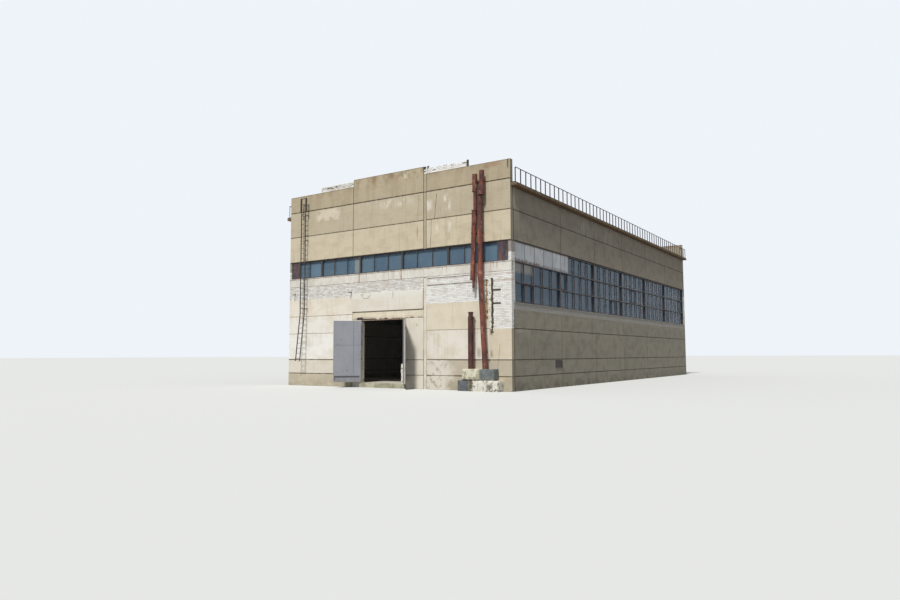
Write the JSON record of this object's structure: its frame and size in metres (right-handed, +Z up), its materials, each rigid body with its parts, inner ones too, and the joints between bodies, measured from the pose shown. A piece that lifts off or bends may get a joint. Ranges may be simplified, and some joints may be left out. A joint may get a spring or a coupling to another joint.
{
  "type": "factory building",
  "caption": "Weathered precast-panel industrial hall with ribbon windows, parapets, a flat-pitched roof, an open two-leaf gate, a roof ladder and old pipes.",
  "frame": {"origin": "centre of the hall's plan at ground level, on the underside of the floor slab", "axes": "+Z up, +Y along the hall from the gate's gable to the rear gable, +X to the right seen from the gate"},
  "size_m": [18.7, 39.2845, 13.93],
  "materials": {
    "structural_concrete": "matte",
    "painted_panel": "matte",
    "plain_panel": "matte",
    "cornice_concrete": "matte",
    "white_brick": "matte",
    "white_sheet": "satin",
    "rusted_sheet": "matte",
    "window_steel": "matte",
    "window_glass": "gloss",
    "roofing_felt": "matte",
    "gate_steel": "matte",
    "gate_sheet": "satin",
    "dark_steel": "matte",
    "rusted_pipe": "matte"
  },
  "bodies": {
    "building": {"floor_slab": "structural_concrete", "gate_threshold": "structural_concrete", "columns": "structural_concrete", "roof_girders": "structural_concrete", "roof_slabs": "structural_concrete", "roofing": "roofing_felt", "front_left_panels": "painted_panel", "front_right_panels": "painted_panel", "gate_side_panels": "painted_panel", "gate_beam": "painted_panel", "gate_lintel_panel": "painted_panel", "gate_lining": "gate_steel", "front_filler_strip": "painted_panel", "front_brickwork": "white_brick", "front_sheet_band": "white_sheet", "gable_window_frames": "window_steel", "gable_window_glass": "window_glass", "window_end_sheets": "rusted_sheet", "corner_piers": "white_brick", "front_upper_panels": "plain_panel", "front_parapet": "plain_panel", "parapet_upstands": "white_brick", "right_lower_panels": "plain_panel", "right_upper_panels": "plain_panel", "left_lower_panels": "plain_panel", "left_upper_panels": "plain_panel", "side_brick_courses": "white_brick", "side_window_frames": "window_steel", "side_window_glass": "window_glass", "side_window_sheets": "white_sheet", "rear_lower_panels": "painted_panel", "rear_brickwork": "white_brick", "rear_sheet_band": "white_sheet", "rear_upper_panels": "plain_panel", "rear_parapet": "plain_panel", "eave_cornices": "cornice_concrete", "roof_railings": "dark_steel", "roof_ladder": "dark_steel", "broken_pipe": "rusted_pipe", "leaning_pipe": "rusted_pipe", "short_pipe": "rusted_pipe", "pipe_blocks": "structural_concrete", "wheel_guard": "structural_concrete", "wall_brackets": "dark_steel", "side_vent": "dark_steel"},
    "left_leaf": {"left_leaf_frame": "gate_steel", "left_leaf_sheet": "gate_sheet"},
    "right_leaf": {"right_leaf_frame": "gate_steel", "right_leaf_sheet": "gate_sheet"}
  },
  "joints": [
    {"name": "left_leaf_hinge", "type": "hinge", "parent": "building", "child": "left_leaf", "pos_m": [-2.2, -18.94, 0.75], "axis": [0, 0, 1], "range_deg": [-40, 135]},
    {"name": "right_leaf_hinge", "type": "hinge", "parent": "building", "child": "right_leaf", "pos_m": [1.4, -18.94, 0.75], "axis": [0, 0, 1], "range_deg": [-130, 45]}
  ]
}
